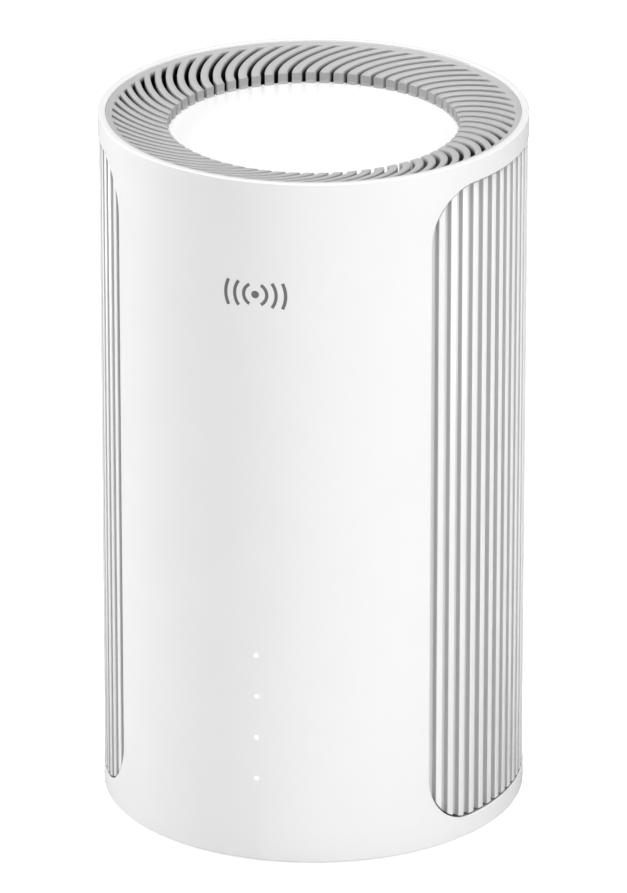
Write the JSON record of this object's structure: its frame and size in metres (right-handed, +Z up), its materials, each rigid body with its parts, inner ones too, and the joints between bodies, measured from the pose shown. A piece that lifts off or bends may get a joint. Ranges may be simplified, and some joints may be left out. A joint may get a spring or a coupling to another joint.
{
  "type": "mesh wifi node",
  "caption": "White cylindrical mesh Wi-Fi node with a sunken top disc, a spiral-finned vent ring, ribbed side panels, front status lights and rear network ports",
  "frame": {"origin": "centre of the circle the rubber feet rest on, at the height of their undersides", "axes": "+Z up along the cylinder's axis, -Y towards the front (status lights), +Y towards the rear (sockets), +X towards the right-hand rib panel for someone facing the front"},
  "size_m": [0.11, 0.11, 0.1875],
  "materials": {
    "white_plastic": "glossy",
    "white_panel": "satin",
    "grey_plastic": "satin",
    "black_plastic": "satin",
    "frame_plastic": "matte",
    "grey_rubber": "matte",
    "clear_lens": "clear, glossy",
    "circuit_board": "solder mask over glass fibre",
    "chip_black": "moulded epoxy",
    "aluminium": "satin",
    "tinned_steel": "tinned",
    "screw_steel": "zinc plated",
    "contact_gold": "gold plated",
    "thermal_pad": "soft silicone",
    "label_paper": "matte",
    "cable_sheath": "smooth sheath"
  },
  "bodies": {
    "housing": {"outer_shell": "white_plastic", "top_disc": "white_plastic", "base_cover": "white_plastic", "rib_panel_right": "white_panel", "rib_panel_left": "white_panel", "port_bezel": "white_panel", "led_cable": "white_panel", "vent_ring": "grey_plastic", "wan_jack": "black_plastic", "lan_jack": "black_plastic", "power_jack": "black_plastic", "board_connector": "black_plastic", "mesh_switch": "black_plastic", "reset_switch": "black_plastic", "inner_frame": "frame_plastic", "foot_1": "grey_rubber", "foot_2": "grey_rubber", "foot_3": "grey_rubber", "foot_4": "grey_rubber", "light_pipe": "clear_lens", "status_led_1": "clear_lens", "status_led_2": "clear_lens", "status_led_3": "clear_lens", "status_led_4": "clear_lens", "led_board": "circuit_board", "main_board": "circuit_board", "port_board": "circuit_board", "antenna_1": "circuit_board", "antenna_2": "circuit_board", "antenna_3": "circuit_board", "antenna_4": "circuit_board", "processor": "chip_black", "radio_chip": "chip_black", "network_transformer": "chip_black", "heatsink_front": "aluminium", "heatsink_rear": "aluminium", "capacitor": "aluminium", "processor_shield": "tinned_steel", "radio_shield": "tinned_steel", "power_pin": "tinned_steel", "base_screw_1": "screw_steel", "base_screw_2": "screw_steel", "base_screw_3": "screw_steel", "base_screw_4": "screw_steel", "heatsink_screw_1": "screw_steel", "heatsink_screw_2": "screw_steel", "heatsink_screw_3": "screw_steel", "heatsink_screw_4": "screw_steel", "wan_contacts": "contact_gold", "lan_contacts": "contact_gold", "processor_pad": "thermal_pad", "radio_pad": "thermal_pad", "rating_label": "label_paper", "antenna_cable_1": "cable_sheath", "antenna_cable_2": "cable_sheath", "antenna_cable_3": "cable_sheath", "antenna_cable_4": "cable_sheath"},
    "mesh_button_body": {"mesh_button": "grey_plastic"},
    "mesh_plunger_body": {"mesh_plunger": "white_panel"},
    "reset_plunger_body": {"reset_plunger": "white_panel"}
  },
  "joints": [
    {"name": "mesh_button_press", "type": "slide", "parent": "housing", "child": "mesh_button_body", "axis": [0, -1, 0], "range_m": [0, 0.0005], "stiffness_N_per_m": 300},
    {"name": "mesh_plunger_press", "type": "slide", "parent": "housing", "child": "mesh_plunger_body", "axis": [0, -1, 0], "range_m": [0, 0.0005]},
    {"name": "reset_plunger_press", "type": "slide", "parent": "housing", "child": "reset_plunger_body", "axis": [0, -1, 0], "range_m": [0, 0.0003], "stiffness_N_per_m": 300}
  ],
  "couplings": [
    {"joint": "mesh_plunger_press", "follows": "mesh_button_press", "ratio": 1}
  ]
}
